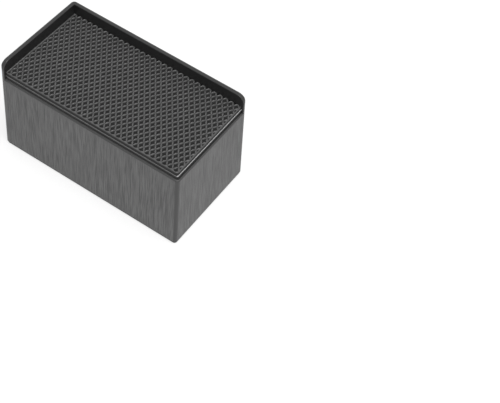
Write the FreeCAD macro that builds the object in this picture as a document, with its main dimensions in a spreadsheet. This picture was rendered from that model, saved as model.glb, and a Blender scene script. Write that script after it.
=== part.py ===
import FreeCAD, Part
import Sketcher
import math
import os

# Bed riser: a moulded block that lifts a bed leg by three inches. The leg stands on a rubber mat,
# against an L-shaped rim on the back and the left side. A rubber sole grips the floor.
# X runs along the block, Y across it and Z up, with the origin under its middle on the floor.

doc = FreeCAD.newDocument("bed_riser")
sizes = doc.addObject("Spreadsheet::Sheet", "sizes")

# Driving sizes: millimetres, degrees and counts
driving = [
    # the block, measured at the foot of its walls
    ("length", 158),
    ("width", 85),
    ("height", 85),
    ("lift", 76),
    ("draft", 1.3),
    ("corner_radius", 2.9),
    # the L-shaped rim
    ("rim_thickness", 3.3),
    ("rim_end_radius", 7),
    ("rim_edge_radius", 1),
    ("rim_inner_radius", 0.5),
    # the ledge round the seat and the plateau that the mat lies on
    ("ledge_width", 1.8),
    ("ledge_edge_radius", 1.2),
    ("plateau_rise", 2.8),
    ("plateau_corner_radius", 1.2),
    ("plateau_edge_radius", 0.4),
    # the mat and its diamond lattice
    ("mat_thickness", 3.4),
    ("mat_inset", 0.4),
    ("mat_gap", 0.1),
    ("mat_corner_radius", 1.8),
    ("mat_edge_radius", 0.8),
    ("mat_border", 1),
    ("mat_rim_border", 0.6),
    ("cells_long", 30),
    ("cells_across", 11),
    ("lattice_left", 0.8),
    ("lattice_right", 2.75),
    ("lattice_front", 1.85),
    ("lattice_back", 2.4),
    ("lattice_rib", 1.2),
    ("pocket_depth", 2),
    # the hollow underside
    ("wall", 4),
    ("deck", 4),
    ("stiffener", 2.4),
    ("hollows_long", 4),
    ("hollows_across", 2),
    ("hollow_draft", 0.5),
    # the rubber sole
    ("sole_thickness", 2.4),
    ("sole_inset", 0.7),
    ("sole_edge_radius", 0.6),
]
for row, (name, value) in enumerate(driving, 1):
    sizes.set(f"A{row}", name)
    sizes.set(f"B{row}", str(value))
    sizes.setAlias(f"B{row}", name)
doc.recompute()

# Places that more than one piece or feature shares
places = doc.addObject("App::VarSet", "places")


def place(name, expression):
    places.addProperty("App::PropertyFloat", name, "Places", "")
    places.setExpression(name, expression)


slope = "tan(sizes.draft * 1 deg)"
place("plateau_top", "sizes.lift - sizes.mat_thickness")
place("ledge_top", "places.plateau_top - sizes.plateau_rise")
place("hollow_top", "places.plateau_top - sizes.deck")
# how far the leaning walls have come inwards at three heights
place("lean_at_ledge", f"{slope} * (places.ledge_top - sizes.sole_thickness)")
place("lean_at_rim_end", f"{slope} * (sizes.height - sizes.rim_end_radius - sizes.sole_thickness)")
place("lean_at_top", f"{slope} * (sizes.height - sizes.sole_thickness)")
# the rim's inner faces
place("rim_left", "-sizes.length / 2 + places.lean_at_top + sizes.rim_thickness")
place("rim_back", "sizes.width / 2 - places.lean_at_top - sizes.rim_thickness")
# the plateau's two free sides
place("plateau_right", "sizes.length / 2 - places.lean_at_ledge - sizes.ledge_width")
place("plateau_front", "-sizes.width / 2 + places.lean_at_ledge + sizes.ledge_width")
# the mat's four sides
place("mat_left", "places.rim_left + sizes.mat_gap")
place("mat_right", "places.plateau_right - sizes.mat_inset")
place("mat_front", "places.plateau_front + sizes.mat_inset")
place("mat_back", "places.rim_back - sizes.mat_gap")
# half a cell of the lattice, between the middles of its outermost pockets
lattice_long = "(places.mat_right - places.mat_left - sizes.lattice_left - sizes.lattice_right)"
lattice_across = "(places.mat_back - places.mat_front - sizes.lattice_front - sizes.lattice_back)"
place("half_cell_long", f"{lattice_long} / sizes.cells_long / 2")
place("half_cell_across", f"{lattice_across} / sizes.cells_across / 2")
# from one hollow to the next
hollowed_long = "(sizes.length - 2 * sizes.wall + sizes.stiffener)"
hollowed_across = "(sizes.width - 2 * sizes.wall + sizes.stiffener)"
place("hollow_pitch_long", f"{hollowed_long} / sizes.hollows_long")
place("hollow_pitch_across", f"{hollowed_across} / sizes.hollows_across")
doc.recompute()


def sketch_on(body, name, role, level="0"):
    sketch = body.newObject("Sketcher::SketchObject", name)
    plane = next(plane for plane in body.Origin.OriginFeatures if plane.Role == role)
    sketch.AttachmentSupport = [(plane, "")]
    sketch.MapMode = "FlatFace"
    sketch.setExpression(".AttachmentOffset.Base.z", level)
    return sketch


def hold(sketch, name, kind, geometry, point, expression):
    # a point's distance from the sketch's origin
    index = sketch.addConstraint(Sketcher.Constraint(kind, -1, 1, geometry, point, 1.0))
    sketch.renameConstraint(index, name)
    sketch.setExpression(f"Constraints.{name}", expression)


def rectangle(sketch, left, right, front, back, prefix=""):
    corners = [FreeCAD.Vector(x, y, 0) for x, y in ((0, 0), (1, 0), (1, 1), (0, 1))]
    lines = [
        sketch.addGeometry(Part.LineSegment(start, end), False)
        for start, end in zip(corners, corners[1:] + corners[:1])
    ]
    for line, following in zip(lines, lines[1:] + lines[:1]):
        sketch.addConstraint(Sketcher.Constraint("Coincident", line, 2, following, 1))
    for line in lines[0::2]:
        sketch.addConstraint(Sketcher.Constraint("Horizontal", line))
    for line in lines[1::2]:
        sketch.addConstraint(Sketcher.Constraint("Vertical", line))
    hold(sketch, prefix + "left", "DistanceX", lines[0], 1, left)
    hold(sketch, prefix + "right", "DistanceX", lines[1], 1, right)
    hold(sketch, prefix + "front", "DistanceY", lines[0], 1, front)
    hold(sketch, prefix + "back", "DistanceY", lines[2], 1, back)


def corner_outside_round(sketch, wall, top, radius, towards):
    # what a quarter round leaves of the square corner between a wall and the top;
    # towards is 1 where the wall faces along the sketch's first axis and -1 where it faces back
    centre = FreeCAD.Vector(-towards, 0, 0)
    above = FreeCAD.Vector(-towards, 1, 0)
    corner = FreeCAD.Vector(0, 1, 0)
    below = FreeCAD.Vector(0, 0, 0)
    start = 0 if towards > 0 else math.pi / 2
    circle = Part.Circle(centre, FreeCAD.Vector(0, 0, 1), 1)
    arc = sketch.addGeometry(Part.ArcOfCircle(circle, start, start + math.pi / 2), False)
    level = sketch.addGeometry(Part.LineSegment(above, corner), False)
    upright = sketch.addGeometry(Part.LineSegment(corner, below), False)
    arc_below, arc_above = (1, 2) if towards > 0 else (2, 1)
    sketch.addConstraint(Sketcher.Constraint("Coincident", level, 2, upright, 1))
    sketch.addConstraint(Sketcher.Constraint("Tangent", level, 1, arc, arc_above))
    sketch.addConstraint(Sketcher.Constraint("Tangent", upright, 2, arc, arc_below))
    sketch.addConstraint(Sketcher.Constraint("Horizontal", level))
    sketch.addConstraint(Sketcher.Constraint("Vertical", upright))
    index = sketch.addConstraint(Sketcher.Constraint("Radius", arc, 1.0))
    sketch.renameConstraint(index, "radius")
    sketch.setExpression("Constraints.radius", radius)
    hold(sketch, "wall", "DistanceX", upright, 1, wall)
    hold(sketch, "top", "DistanceY", upright, 1, top)


def pad(body, sketch, name, length):
    feature = body.newObject("PartDesign::Pad", name)
    feature.Profile = sketch
    feature.setExpression("Length", length)
    return feature


def pocket(body, sketch, name, length):
    feature = body.newObject("PartDesign::Pocket", name)
    feature.Profile = sketch
    feature.setExpression("Length", length)
    return feature


def round_edges(body, base, name, radius, chosen):
    doc.recompute()
    names = [f"Edge{k}" for k, edge in enumerate(base.Shape.Edges, 1) if chosen(edge)]
    if not names:
        raise RuntimeError(f"{name} has no edge to round")
    feature = body.newObject("PartDesign::Fillet", name)
    feature.Base = (base, names)
    feature.setExpression("Radius", radius)
    return feature


def same(value, target):
    return abs(value - target) < 0.001


def is_upright(edge):
    start, end = edge.Vertexes[0].Point, edge.Vertexes[-1].Point
    return abs(end.z - start.z) > 0.99 * (end - start).Length


def is_level_at(edge, level):
    return same(edge.BoundBox.ZMin, level) and same(edge.BoundBox.ZMax, level)


def round_free_sides(body, sheet, name, right, front, top):
    # the upright corner away from the rim, and then the upper edge of the two sides that meet there
    def free_corner(edge):
        box = edge.BoundBox
        return same(box.XMin, right) and same(box.YMin, front) and is_upright(edge)

    corner = round_edges(body, sheet, name + "_corner", f"sizes.{name}_corner_radius", free_corner)

    def free_edge(edge):
        box = edge.BoundBox
        return is_level_at(edge, top) and (same(box.YMax, front) or same(box.XMin, right))

    round_edges(body, corner, name + "_edge", f"sizes.{name}_edge_radius", free_edge)


def make_walls(body):
    # the outer block, with leaning walls and rounded uprights
    outline = sketch_on(body, "foot_outline", "XY_Plane", "sizes.sole_thickness")
    rectangle(
        outline,
        left="-sizes.length / 2",
        right="sizes.length / 2",
        front="-sizes.width / 2",
        back="sizes.width / 2",
    )
    block = pad(body, outline, "walls", "sizes.height - sizes.sole_thickness")
    doc.recompute()

    def faces(wanted):
        return [f"Face{k}" for k, face in enumerate(block.Shape.Faces, 1) if wanted(face.normalAt(0, 0).z)]

    lean = body.newObject("PartDesign::Draft", "lean")
    lean.Base = (block, faces(lambda up: same(up, 0)))
    lean.NeutralPlane = (block, faces(lambda up: same(up, -1)))
    lean.setExpression("Angle", "sizes.draft")
    round_edges(body, lean, "upright_corners", "sizes.corner_radius", is_upright)


def make_seat(body):
    # sunk to the ledge everywhere inside the rim, and open to the front and the right
    outline = sketch_on(body, "seat_outline", "XY_Plane", "sizes.height")
    rectangle(
        outline,
        left="places.rim_left",
        right="sizes.length",
        front="-sizes.width",
        back="places.rim_back",
    )
    pocket(body, outline, "seat_recess", "sizes.height - places.ledge_top")


def make_rim_ends(body):
    # both ends of the rim come down in a quarter round
    rim_ends = (
        ("back_rim_end", "XZ_Plane", 1, "sizes.length / 2 - places.lean_at_rim_end"),
        ("left_rim_end", "YZ_Plane", -1, "-sizes.width / 2 + places.lean_at_rim_end"),
    )
    for name, role, towards, wall in rim_ends:
        curve = sketch_on(body, name + "_curve", role)
        corner_outside_round(curve, wall, "sizes.height", "sizes.rim_end_radius", towards)
        cut = pocket(body, curve, name, "sizes.length + sizes.width")
        cut.SideType = "Symmetric"


def round_rim(body):
    # the edges along the top of the rim and round its ends, on both of its sides
    def at_rim_top(edge):
        return same(edge.BoundBox.ZMax, sizes.height) and edge.Length > sizes.rim_thickness + 0.001

    def on_inner_faces(edge):
        box = edge.BoundBox
        return same(box.XMax, places.rim_left) or same(box.YMin, places.rim_back)

    outer = round_edges(
        body,
        body.Tip,
        "rim_outer_edge",
        "sizes.rim_edge_radius",
        lambda edge: at_rim_top(edge) and not is_upright(edge) and not on_inner_faces(edge),
    )
    round_edges(
        body,
        outer,
        "rim_inner_edge",
        "sizes.rim_inner_radius",
        lambda edge: at_rim_top(edge) and not is_upright(edge) and on_inner_faces(edge),
    )


def round_ledge(body):
    # the outer edge of the ledge along the front and the right
    def on_ledge(edge):
        box = edge.BoundBox
        outside = box.XMax > places.plateau_right or box.YMin < places.plateau_front
        return is_level_at(edge, places.ledge_top) and outside and not same(edge.Length, sizes.ledge_width)

    return round_edges(body, body.Tip, "ledge_edge", "sizes.ledge_edge_radius", on_ledge)


def make_plateau(body):
    outline = sketch_on(body, "plateau_outline", "XY_Plane", "places.ledge_top")
    rectangle(
        outline,
        left="places.rim_left",
        right="places.plateau_right",
        front="places.plateau_front",
        back="places.rim_back",
    )
    raised = pad(body, outline, "plateau", "sizes.plateau_rise")
    round_free_sides(
        body, raised, "plateau", places.plateau_right, places.plateau_front, places.plateau_top
    )


def make_hollows(body):
    # the underside is hollowed between stiffeners, all of them moulded with the walls and the deck
    outline = sketch_on(body, "hollow_outline", "XY_Plane", "sizes.sole_thickness")
    left = "-sizes.length / 2 + sizes.wall"
    front = "-sizes.width / 2 + sizes.wall"
    rectangle(
        outline,
        left=left,
        right=f"{left} + places.hollow_pitch_long - sizes.stiffener",
        front=front,
        back=f"{front} + places.hollow_pitch_across - sizes.stiffener",
    )
    hollow = pocket(body, outline, "hollow", "places.hollow_top - sizes.sole_thickness")
    hollow.Reversed = True
    hollow.setExpression("TaperAngle", "-sizes.hollow_draft")
    doc.recompute()
    grid = body.newObject("PartDesign::MultiTransform", "hollows")
    grid.Originals = [hollow]
    grid.Transformations = [
        row_of(body, outline, "H_Axis", "long"),
        row_of(body, outline, "V_Axis", "across"),
    ]
    body.Tip = grid


def row_of(body, sketch, axis, way):
    row = body.newObject("PartDesign::LinearPattern", f"hollows_{way}")
    row.Direction = (sketch, [axis])
    row.Mode = "Spacing"
    row.setExpression("Offset", f"places.hollow_pitch_{way}")
    row.setExpression("Occurrences", f"sizes.hollows_{way}")
    return row


def make_riser_body():
    body = doc.addObject("PartDesign::Body", "riser_body")
    body.Label = "riser_body"
    make_walls(body)
    make_seat(body)
    make_rim_ends(body)
    make_plateau(body)
    round_ledge(body)
    round_rim(body)
    make_hollows(body)
    return body


def make_sole():
    # a ring of rubber under the walls
    body = doc.addObject("PartDesign::Body", "sole")
    body.Label = "sole"
    outline = sketch_on(body, "sole_outline", "XY_Plane")
    rectangle(
        outline,
        left="-sizes.length / 2 + sizes.sole_inset",
        right="sizes.length / 2 - sizes.sole_inset",
        front="-sizes.width / 2 + sizes.sole_inset",
        back="sizes.width / 2 - sizes.sole_inset",
    )
    rectangle(
        outline,
        left="-sizes.length / 2 + sizes.wall",
        right="sizes.length / 2 - sizes.wall",
        front="-sizes.width / 2 + sizes.wall",
        back="sizes.width / 2 - sizes.wall",
        prefix="opening_",
    )
    sheet = pad(body, outline, "sole_sheet", "sizes.sole_thickness")

    def outer_corner(edge):
        return is_upright(edge) and same(edge.BoundBox.XMax**2, (sizes.length / 2 - sizes.sole_inset) ** 2)

    corners = round_edges(body, sheet, "sole_corners", "sizes.corner_radius - sizes.sole_inset", outer_corner)

    def outer_foot(edge):
        box = edge.BoundBox
        outside = box.YMin < -sizes.width / 2 + sizes.wall or box.YMax > sizes.width / 2 - sizes.wall
        return is_level_at(edge, 0) and outside

    round_edges(body, corners, "sole_edge", "sizes.sole_edge_radius", outer_foot)
    return body


def make_mat_sheet():
    body = doc.addObject("PartDesign::Body", "mat_sheet")
    outline = sketch_on(body, "mat_outline", "XY_Plane", "places.plateau_top")
    rectangle(
        outline,
        left="places.mat_left",
        right="places.mat_right",
        front="places.mat_front",
        back="places.mat_back",
    )
    sheet = pad(body, outline, "sheet", "sizes.mat_thickness")
    round_free_sides(body, sheet, "mat", places.mat_right, places.mat_front, sizes.lift)
    return body


def inverted_pyramid(middle, reach_x, reach_y, depth):
    tip = middle - FreeCAD.Vector(0, 0, depth)
    rim = [
        middle + FreeCAD.Vector(reach_x, 0, 0),
        middle + FreeCAD.Vector(0, reach_y, 0),
        middle - FreeCAD.Vector(reach_x, 0, 0),
        middle - FreeCAD.Vector(0, reach_y, 0),
    ]
    faces = [Part.Face(Part.makePolygon(rim + rim[:1]))]
    for start, end in zip(rim, rim[1:] + rim[:1]):
        faces.append(Part.Face(Part.makePolygon([start, end, tip, start])))
    return Part.Solid(Part.Shell(faces))


def lattice_pockets():
    # inverted pyramids on a diamond lattice: what reaches into the border along the left, the front
    # and the right is cut off at it, and the last row is open to the back
    half_long = places.half_cell_long
    half_across = places.half_cell_across
    # half of the rib's width goes from each of the four sides of a cell
    inradius = half_long * half_across / math.hypot(half_long, half_across)
    share = 1 - sizes.lattice_rib / 2 / inradius
    reach_x = half_long * share
    reach_y = half_across * share
    first_x = places.mat_left + sizes.lattice_left
    first_y = places.mat_front + sizes.lattice_front
    left = places.mat_left + sizes.mat_rim_border
    right = places.mat_right - sizes.mat_border
    front = places.mat_front + sizes.mat_border
    back = places.mat_back + sizes.width
    corner = FreeCAD.Vector(left, front, sizes.lift - sizes.mat_thickness)
    inside = Part.makeBox(right - left, back - front, sizes.mat_thickness, corner)
    columns = 2 * sizes.cells_long + 1
    rows = 2 * sizes.cells_across + 2
    pockets = []
    for column in range(columns):
        for row in range(column % 2, rows, 2):
            x = first_x + column * half_long
            y = first_y + row * half_across
            middle = FreeCAD.Vector(x, y, sizes.lift)
            cutter = inverted_pyramid(middle, reach_x, reach_y, sizes.pocket_depth)
            if x - reach_x < left or x + reach_x > right or y - reach_y < front:
                cutter = cutter.common(inside).Solids[0]
            pockets.append(cutter)
    return Part.makeCompound(pockets)


def make_grip_mat():
    sheet = make_mat_sheet()
    pockets = doc.addObject("Part::Feature", "pockets")
    pockets.Shape = lattice_pockets()
    mat = doc.addObject("Part::Cut", "grip_mat")
    mat.Label = "grip_mat"
    mat.Base = sheet
    mat.Tool = pockets
    mat.Refine = False
    return mat


pieces = [make_riser_body(), make_sole(), make_grip_mat()]
doc.recompute()

for thing in doc.Objects:
    if {"Invalid", "Error"} & set(thing.State):
        raise RuntimeError(f"{thing.Name} failed: {thing.State}")
for piece in pieces:
    if piece.Shape.isNull() or not piece.Shape.isValid() or len(piece.Shape.Solids) != 1:
        raise RuntimeError(f"{piece.Label} is not one sound solid")

os.makedirs("parts", exist_ok=True)
for piece in pieces:
    piece.Shape.exportStep(f"parts/{piece.Label}.step")
    box = piece.Shape.BoundBox
    print(piece.Label, round(piece.Shape.Volume), "mm3", box)
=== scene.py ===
import math

import bpy
import numpy as np
from mathutils import Matrix, Vector


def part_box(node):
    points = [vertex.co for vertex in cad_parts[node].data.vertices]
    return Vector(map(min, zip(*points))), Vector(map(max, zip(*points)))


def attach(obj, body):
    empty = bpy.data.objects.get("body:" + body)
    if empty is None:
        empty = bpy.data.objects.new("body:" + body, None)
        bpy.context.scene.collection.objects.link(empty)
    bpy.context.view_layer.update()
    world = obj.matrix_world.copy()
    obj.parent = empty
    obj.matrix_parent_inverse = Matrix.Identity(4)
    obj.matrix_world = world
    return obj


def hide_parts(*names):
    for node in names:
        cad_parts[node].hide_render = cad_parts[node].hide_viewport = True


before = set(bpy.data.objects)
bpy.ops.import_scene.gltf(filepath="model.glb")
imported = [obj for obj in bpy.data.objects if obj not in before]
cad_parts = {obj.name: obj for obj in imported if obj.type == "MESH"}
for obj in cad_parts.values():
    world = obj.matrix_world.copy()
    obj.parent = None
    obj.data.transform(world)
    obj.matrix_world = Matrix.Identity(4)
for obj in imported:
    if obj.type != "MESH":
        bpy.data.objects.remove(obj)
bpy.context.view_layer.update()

# Bed riser in a plain studio. Places are in metres, with the floor at z = 0 under the riser, and the
# small sizes in the dictionaries are in millimetres. A level is how light a grey is, from 0 to 1.
mm = 0.001

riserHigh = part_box("riser_body")[1]
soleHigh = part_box("sole")[1]
matLow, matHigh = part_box("grip_mat")
print("frame loaded:", sorted(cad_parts))


# Small helpers for nodes and materials

def newMaterial(name):
    material = bpy.data.materials.new(name)
    material.use_nodes = True
    tree = material.node_tree
    shader = next(node for node in tree.nodes if node.type == "BSDF_PRINCIPLED")
    return material, tree, shader


def addNode(tree, kind, **settings):
    node = tree.nodes.new(kind)
    for key, value in settings.items():
        setattr(node, key, value)
    return node


def feed(tree, socket, value):
    # a socket takes either another socket or a plain value
    if isinstance(value, bpy.types.NodeSocket):
        tree.links.new(value, socket)
    else:
        socket.default_value = value


def calculate(tree, operation, first, second=0.0):
    node = addNode(tree, "ShaderNodeMath", operation=operation)
    feed(tree, node.inputs[0], first)
    feed(tree, node.inputs[1], second)
    return node.outputs[0]


def ramp(tree, value, low, high, start=0.0, end=1.0):
    # goes smoothly from start to end while value goes from low to high
    node = addNode(tree, "ShaderNodeMapRange", interpolation_type="SMOOTHSTEP")
    for socket, setting in zip(node.inputs, (value, low, high, start, end)):
        feed(tree, socket, setting)
    return node.outputs[0]


def band(tree, value, middle, reach):
    # 1 within half of reach around middle, and 0 beyond reach
    away = calculate(tree, "ABSOLUTE", calculate(tree, "SUBTRACT", value, middle))
    return ramp(tree, away, 0.5 * reach, reach, 1.0, 0.0)


def grey(level):
    return (level, level, level, 1.0)


def blendColours(tree, share, first, second):
    # the first colour where share is 0 and the second where it is 1
    node = addNode(tree, "ShaderNodeMix", data_type="RGBA")
    feed(tree, node.inputs[0], share)
    feed(tree, node.inputs[6], first)
    feed(tree, node.inputs[7], second)
    return node.outputs[2]


def placeOnPiece(tree):
    # x, y and z of the point, which stay with the piece when it moves
    place = addNode(tree, "ShaderNodeTexCoord")
    parts = addNode(tree, "ShaderNodeSeparateXYZ")
    tree.links.new(place.outputs["Object"], parts.inputs[0])
    return parts.outputs


def uprightNoise(tree, width, length, detail, roughness=0.5):
    # noise pulled out along z: its marks are about width wide and length long, in mm
    place = addNode(tree, "ShaderNodeTexCoord")
    mapping = addNode(tree, "ShaderNodeMapping")
    mapping.inputs["Scale"].default_value = (1, 1, width / length)
    noise = addNode(tree, "ShaderNodeTexNoise")
    noise.inputs["Scale"].default_value = 1 / (width * mm)
    noise.inputs["Detail"].default_value = detail
    noise.inputs["Roughness"].default_value = roughness
    tree.links.new(place.outputs["Object"], mapping.inputs["Vector"])
    tree.links.new(mapping.outputs["Vector"], noise.inputs["Vector"])
    return noise.outputs["Fac"]


def makeGrainGroup():
    # fine moulding grain and broad cloudiness, shared by the plastic and both rubbers
    group = bpy.data.node_groups.new("mouldedGrain", "ShaderNodeTree")
    for name, setting in (("Grain Size", 0.5), ("Cloud Size", 30.0)):
        socket = group.interface.new_socket(name, in_out="INPUT", socket_type="NodeSocketFloat")
        socket.default_value = setting
    for name in ("Height", "Cloud"):
        group.interface.new_socket(name, in_out="OUTPUT", socket_type="NodeSocketFloat")
    start = group.nodes.new("NodeGroupInput")
    end = group.nodes.new("NodeGroupOutput")
    place = addNode(group, "ShaderNodeTexCoord")
    for size, result, detail in (("Grain Size", "Height", 3.0), ("Cloud Size", "Cloud", 2.0)):
        noise = addNode(group, "ShaderNodeTexNoise")
        noise.inputs["Detail"].default_value = detail
        group.links.new(place.outputs["Object"], noise.inputs["Vector"])
        # sizes are in millimetres, and the noise wants features per metre
        feed(group, noise.inputs["Scale"], calculate(group, "DIVIDE", 1000.0, start.outputs[size]))
        group.links.new(noise.outputs["Fac"], end.inputs[result])
    return group


grainGroup = makeGrainGroup()


def addGrain(tree, grainSize, cloudSize):
    node = addNode(tree, "ShaderNodeGroup", node_tree=grainGroup)
    node.inputs["Grain Size"].default_value = grainSize
    node.inputs["Cloud Size"].default_value = cloudSize
    return node.outputs["Height"], node.outputs["Cloud"]


def addBump(tree, shader, height, distance):
    bump = addNode(tree, "ShaderNodeBump")
    bump.inputs["Strength"].default_value = 1.0
    bump.inputs["Distance"].default_value = distance
    tree.links.new(height, bump.inputs["Height"])
    tree.links.new(bump.outputs["Normal"], shader.inputs["Normal"])


# The moulded block: satin black plastic, with upright brushing on its four flat walls

plastic = {
    "smoothLevel": 0.018,
    "smoothDrift": 0.15,         # share by which the smooth level drifts up and down
    "smoothRoughness": 0.34,
    "grainSize": 0.35,           # mm
    "grainDepth": 0.006,         # mm
    "cloudSize": 22.0,           # mm
    # brushed walls
    "draftDegrees": 1.3,         # the walls' lean
    "wallReach": 0.05,           # mm in from a wall's flat within which it is brushed
    "brushedLow": 0.047,
    "brushedHigh": 0.142,
    "brushedRoughness": 0.55,
    "streakWidth": 0.5,          # mm
    "streakLength": 34.0,        # mm
    "streakDepth": 0.03,         # mm
    "bandWidth": 3.0,            # mm, of the broader streaks
    "bandLength": 25.0,          # mm
    "bandShare": 0.15,
    "streakRange": (0.34, 0.66),  # noise values that give the darkest and the lightest streak
    # edges round the walls, the ledge and the plateau: painted shade on the walls' rounded edges,
    # painted light and shade on the ledge, and a painted highlight along the plateau's edge
    "outerShadeLevel": 0.038,
    "outerReach": (0.8, 1.3),    # mm in from the walls over which their rounded edges end
    # the ledge's flat: a lighter grey at the front, partly its own finish and partly painted light, and
    # nearly the plain dark at the right as painted shade
    "frontLedgeLevel": 0.062,
    "rightLedgeLevel": 0.017,
    "ledgeHeight": 69.8,         # mm
    "ledgeBand": 0.12,           # mm
    "frontLineLevel": 0.14,      # painted highlight along the plateau's front edge
    "rightLineLevel": 0.44,      # and a brighter painted highlight along its right one
    "lineHeight": 72.52,         # mm, just below the plateau's top
    "lineBand": 0.2,             # mm
    "rightSideWidth": 0.5,       # mm in from the mat's right side at which the right levels of painted light and shade start
}


def insideWalls(tree):
    # least distance in from the leaning walls: half of the block's size at the foot, less the distance
    # from its middle, less the lean (height above the sole times the tangent of the draft)
    x, y, z = placeOnPiece(tree)
    slope = math.tan(math.radians(plastic["draftDegrees"]))
    lean = calculate(tree, "MULTIPLY", calculate(tree, "SUBTRACT", z, soleHigh.z), slope)
    distances = []
    for place, half in ((x, riserHigh.x), (y, riserHigh.y)):
        reached = calculate(tree, "ADD", calculate(tree, "ABSOLUTE", place), lean)
        distances.append(calculate(tree, "SUBTRACT", half, reached))
    return calculate(tree, "MINIMUM", *distances)


def makeStreaks(tree):
    # fine streaks with a share of broad ones, from 0 in the dark ones to 1 in the light ones
    p = plastic
    fine = uprightNoise(tree, p["streakWidth"], p["streakLength"], detail=4.0, roughness=0.62)
    broad = uprightNoise(tree, p["bandWidth"], p["bandLength"], detail=2.0)
    fine = calculate(tree, "MULTIPLY", fine, 1 - p["bandShare"])
    broad = calculate(tree, "MULTIPLY", broad, p["bandShare"])
    return ramp(tree, calculate(tree, "ADD", fine, broad), *p["streakRange"])


def makePlastic():
    p = plastic
    material, tree, shader = newMaterial("satinPlastic")
    inside = insideWalls(tree)
    reach = p["wallReach"] * mm
    brushed = ramp(tree, inside, 0.3 * reach, 2 * reach, 1.0, 0.0)
    streaks = makeStreaks(tree)
    grain, cloud = addGrain(tree, p["grainSize"], p["cloudSize"])
    brushedColour = blendColours(tree, streaks, grey(p["brushedLow"]), grey(p["brushedHigh"]))
    darkest, lightest = (p["smoothLevel"] * (1 + side * p["smoothDrift"]) for side in (-1, 1))
    smoothColour = blendColours(tree, cloud, grey(darkest), grey(lightest))
    # the ledge's flat and the plateau's rounded edge are picked out by their heights, and given
    # different greys at the front and the right: painted light and shade on the ledge, and a painted
    # highlight on the plateau's edge that is brighter along the right
    x, y, z = placeOnPiece(tree)
    onRight = ramp(tree, x, matHigh.x - p["rightSideWidth"] * mm, matHigh.x)
    for name in ("ledge", "line"):
        level = name.capitalize() + "Level"
        colour = blendColours(tree, onRight, grey(p["front" + level]), grey(p["right" + level]))
        here = band(tree, z, p[name + "Height"] * mm, p[name + "Band"] * mm)
        smoothColour = blendColours(tree, here, smoothColour, colour)
    # painted shade: the walls' rounded edges get a darker grey than the walls, standing in for the dark
    # these edges reflect
    outerStart, outerEnd = p["outerReach"]
    outerShade = ramp(tree, inside, outerStart * mm, outerEnd * mm, 1.0, 0.0)
    smoothColour = blendColours(tree, outerShade, smoothColour, grey(p["outerShadeLevel"]))
    colour = blendColours(tree, brushed, smoothColour, brushedColour)
    roughness = ramp(tree, brushed, 0.0, 1.0, p["smoothRoughness"], p["brushedRoughness"])
    feed(tree, shader.inputs["Base Color"], colour)
    feed(tree, shader.inputs["Roughness"], roughness)
    # bump height in mm: streaks on the walls, and grain everywhere
    streakHeight = calculate(tree, "MULTIPLY", streaks, brushed)
    streakHeight = calculate(tree, "MULTIPLY", streakHeight, p["streakDepth"])
    grainHeight = calculate(tree, "MULTIPLY", grain, p["grainDepth"])
    addBump(tree, shader, calculate(tree, "ADD", streakHeight, grainHeight), mm)
    return material


# The sole: matt rubber, slightly cloudy

sole = {
    "lowLevel": 0.028,
    "highLevel": 0.045,
    "roughness": 0.7,
    "grainSize": 0.6,            # mm
    "grainDepth": 0.03,          # mm
    "cloudSize": 9.0,            # mm
}


def makeSoleRubber():
    p = sole
    material, tree, shader = newMaterial("soleRubber")
    grain, cloud = addGrain(tree, p["grainSize"], p["cloudSize"])
    colour = blendColours(tree, cloud, grey(p["lowLevel"]), grey(p["highLevel"]))
    feed(tree, shader.inputs["Base Color"], colour)
    shader.inputs["Roughness"].default_value = p["roughness"]
    addBump(tree, shader, grain, p["grainDepth"] * mm)
    return material


def dress(nodeName, material):
    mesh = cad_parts[nodeName].data
    mesh.materials.clear()
    mesh.materials.append(material)


dress("riser_body", makePlastic())
dress("sole", makeSoleRubber())
print("plastic and sole dressed")


# The grip mat: one closed sheet, whose top is a field of rounded ribs round oval pockets

gripMat = {
    "cornerRadius": 1.8,         # mm, at the corner away from the rim
    "edgeRadius": 0.8,           # mm, along the two free sides
    "cellsLong": 30,             # pockets from the first middle to the last, along the block
    "cellsAcross": 11,           # and across it
    "firstLong": 0.8,            # mm from the mat's left side to the first pockets' middles
    "lastLong": 2.75,            # mm from the last ones' to its right side
    "firstAcross": 1.85,         # mm from its front
    "lastAcross": 2.4,           # mm to its back
    "border": 0.4,               # mm, plain along the free sides
    "rimBorder": 0.25,           # mm, plain along the left side
    "backBorder": 0.15,          # mm, plain behind the last whole pockets
    "borderSlope": 0.9,          # mm over which a pocket's floor rises to the border
    "pocketDepth": 2.0,          # mm
    "ribWide": 0.74,             # mm, half of a rib's breadth between two crossings
    "ribNarrow": 0.38,           # mm, and at a crossing
    "ribBend": 0.07,             # share of half a cell by which the ribs leave the straight line
    "crossingDip": 0.48,         # share of the pocket's depth by which the crossings lie lower
    "blend": 12.0,               # how sharply the two families of ribs meet
    "stepsLong": 12,             # grid steps in a cell, along the block
    "stepsAcross": 16,           # and across it
    # rubber, darkened with depth below the top as painted shade in the pockets
    "lowLevel": 0.058,
    "highLevel": 0.110,
    "pocketShadeLevel": 0.006,
    "shadeDepth": 1.3,           # mm below the top at which the pockets' painted shade is fully reached
    "roughness": 0.34,
    "pocketRoughness": 0.80,
    "grainSize": 0.4,            # mm
    "grainDepth": 0.02,          # mm
    "cloudSize": 6.0,            # mm
}


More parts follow.
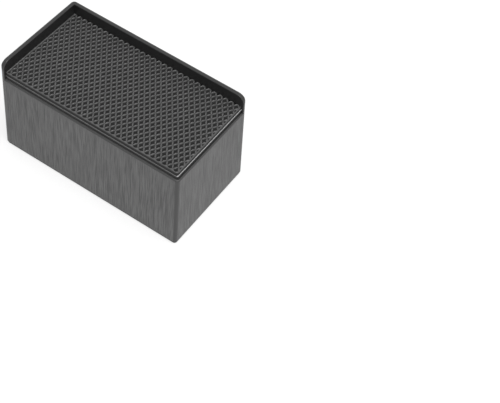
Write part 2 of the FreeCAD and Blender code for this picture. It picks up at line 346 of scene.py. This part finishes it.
def makeMatRubber():
    p = gripMat
    material, tree, shader = newMaterial("matRubber")
    grain, cloud = addGrain(tree, p["grainSize"], p["cloudSize"])
    topColour = blendColours(tree, cloud, grey(p["lowLevel"]), grey(p["highLevel"]))
    # 0 down in the pockets and 1 at the mat's top; the colour's darkening with depth is painted shade
    # in the pockets, on the lower crossings and down the mat's sides
    x, y, z = placeOnPiece(tree)
    raised = ramp(tree, z, matHigh.z - p["shadeDepth"] * mm, matHigh.z)
    colour = blendColours(tree, raised, grey(p["pocketShadeLevel"]), topColour)
    roughness = ramp(tree, raised, 0.0, 1.0, p["pocketRoughness"], p["roughness"])
    feed(tree, shader.inputs["Base Color"], colour)
    feed(tree, shader.inputs["Roughness"], roughness)
    addBump(tree, shader, grain, p["grainDepth"] * mm)
    return material


def gridLines(low, high, step, extra):
    # even steps from low to high, with closer lines where an edge is rounded
    count = max(2, int(round((high - low) / step)))
    return np.unique(np.concatenate([np.linspace(low, high, count + 1), extra]).round(8))


def swell(distance):
    # 1 up to distance 0, and a cosine down to 0 at distance 1
    return 0.5 + 0.5 * np.cos(np.pi * np.clip(distance, 0, 1))


def ribHeight(away, along):
    # a rib is broad and high between two crossings, and narrow and lower at them: its breadth goes with
    # the square of along and its height with the cube, where along is 1 at a crossing
    p = gripMat
    breadth = (p["ribWide"] + (p["ribNarrow"] - p["ribWide"]) * along**2) * mm
    return swell(away / (2 * breadth)) * (1 - p["crossingDip"] * along**3)


def matTop():
    # a grid over the mat, whose height is its top less the pocket's depth times (1 - raised), where
    # raised is the power mean of two families of ribs and the borders, less a quarter round at the edge
    p = gripMat
    left, front = matLow.x, matLow.y
    right, back = matHigh.x, matHigh.y
    corner, edge = p["cornerRadius"] * mm, p["edgeRadius"] * mm
    firstX, firstY = left + p["firstLong"] * mm, front + p["firstAcross"] * mm
    halfLong = (right - p["lastLong"] * mm - firstX) / p["cellsLong"] / 2
    halfAcross = (back - p["lastAcross"] * mm - firstY) / p["cellsAcross"] / 2
    # five closer lines at even angles round the edge's quarter circle, in radians
    closer = edge * (1 - np.cos(np.linspace(0.25, 1.4, 5)))
    columns = gridLines(left, right, 2 * halfLong / p["stepsLong"], right - closer)
    rows = gridLines(front, back, 2 * halfAcross / p["stepsAcross"], front + closer)
    x, y = np.meshgrid(columns, rows, indexing="ij")

    # free corner: the square patch there is pressed into a quarter disc, each way by the root of
    # 1 less half the square of the other
    overX = np.clip(x - (right - corner), 0, None) / corner
    overY = np.clip((front + corner) - y, 0, None) / corner
    atCorner = overX * overY > 0
    x = np.where(atCorner, right - corner + corner * overX * np.sqrt(1 - overY**2 / 2), x)
    y = np.where(atCorner, front + corner - corner * overY * np.sqrt(1 - overX**2 / 2), y)
    # distance in from the free outline, and the drop of the quarter round there
    fromCorner = corner - np.hypot(x - (right - corner), y - (front + corner))
    inside = np.where(atCorner, fromCorner, np.minimum(right - x, y - front))
    inside = np.clip(inside, 0, None)
    rounded = edge - np.sqrt(np.clip(edge**2 - (edge - inside) ** 2, 0, None))
    drop = np.where(inside < edge, rounded, 0)

    # lattice: s and t count pockets along the two diagonals, and a pocket's middle has both whole
    overLong, overAcross = (x - firstX) / halfLong, (y - firstY) / halfAcross
    # the ribs are steeper half way between their crossings and flatter at them
    overAcross = overAcross + p["ribBend"] * np.sin(2 * np.pi * overAcross)
    s, t = (overLong + overAcross) / 2, (overLong - overAcross) / 2
    nearS, nearT = np.round(s), np.round(t)
    column, row = nearS + nearT, nearS - nearT
    lastColumn, lastRow = 2 * p["cellsLong"], 2 * p["cellsAcross"]
    pocketed = (column >= 0) & (column <= lastColumn + 1) & (row >= 0) & (row <= lastRow + 1)
    # away is 0 on a rib's middle line and 1 in a pocket's middle
    awayS, awayT = 1 - np.abs(s - nearS) * 2, 1 - np.abs(t - nearT) * 2
    apart = halfLong * halfAcross / math.hypot(halfLong, halfAcross)
    slope = p["borderSlope"] * mm
    forms = [
        ribHeight(awayS * apart, 1 - awayT),
        ribHeight(awayT * apart, 1 - awayS),
        swell((inside - p["border"] * mm) / slope),
        swell((x - left - p["rimBorder"] * mm) / slope),
        swell((back - y - p["backBorder"] * mm) / slope) * (row <= lastRow),
    ]
    raised = np.minimum(sum(form ** p["blend"] for form in forms) ** (1 / p["blend"]), 1)
    raised = np.where(pocketed, raised, 1)
    return x, y, matHigh.z - p["pocketDepth"] * mm * (1 - raised) - drop


def closedSheet(name, x, y, z, footHeight):
    # the top grid, a wall down from its outline, and one flat face below
    countX, countY = x.shape
    index = np.arange(countX * countY).reshape(countX, countY)
    top = np.stack([x, y, z], -1).reshape(-1, 3)
    corners = [index[:-1, :-1], index[1:, :-1], index[1:, 1:], index[:-1, 1:]]
    quads = np.stack(corners, -1).reshape(-1, 4)
    ring = np.concatenate([index[:-1, 0], index[-1, :-1], index[:0:-1, -1], index[0, :0:-1]])
    foot = top[ring].copy()
    foot[:, 2] = footHeight
    footIndex = len(top) + np.arange(len(ring))
    walls = np.stack([ring, footIndex, np.roll(footIndex, -1), np.roll(ring, -1)], -1)
    faces = quads.tolist() + walls.tolist() + [footIndex[::-1].tolist()]
    mesh = bpy.data.meshes.new(name)
    mesh.from_pydata(np.concatenate([top, foot]).tolist(), [], faces)
    smooth = np.zeros(len(faces), bool)
    smooth[: len(quads)] = True  # the wall and the foot stay flat
    mesh.polygons.foreach_set("use_smooth", smooth)
    mesh.validate()
    mesh.update()
    return mesh


def makeGripMat():
    mesh = closedSheet("gripMat", *matTop(), matLow.z)
    mesh.materials.append(makeMatRubber())
    piece = bpy.data.objects.new("gripMat", mesh)
    bpy.context.scene.collection.objects.link(piece)
    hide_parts("grip_mat")
    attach(piece, "root")
    print("grip mat:", len(mesh.polygons), "faces")


makeGripMat()


# Studio: pale floor, even world light, one broad lamp high above and a weak one from the right front

studio = {
    "floorSize": 6.0,            # metres
    "floorLevel": 0.80,          # of the board that lights the riser from below
    "shadowShare": 0.30,         # of the seen floor's light that the riser can shade
    "seenLight": 1.03,           # the seen floor's light in all, where 1 is white
    "worldLight": 0.55,
    "aimHeight": 0.05,           # metres, where the lamps point
    "lamps": [
        # place and size in metres
        {"name": "overhead", "place": (0.34, -0.08, 1.27), "size": 0.65, "watts": 9.8},
        {"name": "rightFill", "place": (0.95, -1.0, 0.55), "size": 0.9, "watts": 2.3},
    ],
}


def seenDirectly(tree):
    # 1 for what the camera sees, also in a gloss or through glass, and 0 for light on the object
    path = addNode(tree, "ShaderNodeLightPath")
    seen = calculate(tree, "MAXIMUM", path.outputs["Is Camera Ray"], path.outputs["Is Glossy Ray"])
    return calculate(tree, "MAXIMUM", seen, path.outputs["Is Transmission Ray"])


def makeFloor():
    p = studio
    half = p["floorSize"] / 2
    corners = [(-half, -half, 0), (half, -half, 0), (half, half, 0), (-half, half, 0)]
    mesh = bpy.data.meshes.new("floor")
    mesh.from_pydata(corners, [], [(0, 1, 2, 3)])
    material, tree, shader = newMaterial("paleFloor")
    # the camera sees the floor white with a faint shadow, and its bounce stays that of a pale board
    seen = seenDirectly(tree)
    colour = blendColours(tree, seen, grey(p["floorLevel"]), grey(p["shadowShare"]))
    glow = calculate(tree, "MULTIPLY", seen, p["seenLight"] - p["shadowShare"])
    feed(tree, shader.inputs["Base Color"], colour)
    shader.inputs["Emission Color"].default_value = grey(1.0)
    feed(tree, shader.inputs["Emission Strength"], glow)
    shader.inputs["Roughness"].default_value = 0.9
    shader.inputs["Specular IOR Level"].default_value = 0.0
    mesh.materials.append(material)
    floor = bpy.data.objects.new("floor", mesh)
    bpy.context.scene.collection.objects.link(floor)


def makeWorld():
    world = bpy.data.worlds.new("studioWorld")
    bpy.context.scene.world = world
    world.use_nodes = True
    tree = world.node_tree
    background = next(node for node in tree.nodes if node.type == "BACKGROUND")
    background.inputs["Color"].default_value = grey(1.0)
    strength = ramp(tree, seenDirectly(tree), 0.0, 1.0, studio["worldLight"], 1.0)
    feed(tree, background.inputs["Strength"], strength)


def makeLamps():
    for setting in studio["lamps"]:
        lamp = bpy.data.lights.new(setting["name"], "AREA")
        lamp.shape = "DISK"
        lamp.size = setting["size"]
        lamp.energy = setting["watts"]
        holder = bpy.data.objects.new(setting["name"], lamp)
        holder.location = setting["place"]
        aim = Vector((0, 0, studio["aimHeight"])) - holder.location
        holder.rotation_euler = aim.to_track_quat("-Z", "Y").to_euler()
        bpy.context.scene.collection.objects.link(holder)


# Camera: the photograph's angle and framing

cameraSetting = {
    "azimuth": 27.66,            # degrees from straight in front, towards the open end
    "elevation": 52.46,          # degrees
    "roll": 7.76,                # degrees, the frame turned against the riser
    "focalPixels": 1142.2,       # focal length in pixels of the frame below
    "distance": 0.8296,          # metres along the view to the riser's middle
    "middleAt": (123.6, 119.6),  # pixel of the riser's middle in the frame
    "frame": (500, 403),         # pixels
    "sensorWidth": 36.0,         # mm
}


def makeCamera():
    p = cameraSetting
    azimuth, elevation, roll = (math.radians(p[key]) for key in ("azimuth", "elevation", "roll"))
    backward = Vector((
        math.sin(azimuth) * math.cos(elevation),
        -math.cos(azimuth) * math.cos(elevation),
        math.sin(elevation),
    ))
    level = Vector((math.cos(azimuth), math.sin(azimuth), 0))
    rising = backward.cross(level)
    right = level * math.cos(roll) + rising * math.sin(roll)
    up = backward.cross(right)
    width, height = p["frame"]
    data = bpy.data.cameras.new("camera")
    data.sensor_fit = "HORIZONTAL"
    data.sensor_width = p["sensorWidth"]
    data.lens = p["focalPixels"] / width * p["sensorWidth"]
    data.clip_end = 50
    camera = bpy.data.objects.new("camera", data)
    # the riser's middle, moved so that it falls on its pixel of the frame
    middle = Vector((0, 0, riserHigh.z / 2))
    across = (p["middleAt"][0] - width / 2) / p["focalPixels"]
    down = (p["middleAt"][1] - height / 2) / p["focalPixels"]
    place = middle + p["distance"] * (backward - right * across + up * down)
    camera.matrix_world = Matrix((
        (right.x, up.x, backward.x, place.x),
        (right.y, up.y, backward.y, place.y),
        (right.z, up.z, backward.z, place.z),
        (0, 0, 0, 1),
    ))
    bpy.context.scene.collection.objects.link(camera)
    bpy.context.scene.camera = camera


makeFloor()
makeWorld()
makeLamps()
makeCamera()
bpy.context.scene.view_settings.view_transform = "Standard"
print("studio and camera set")
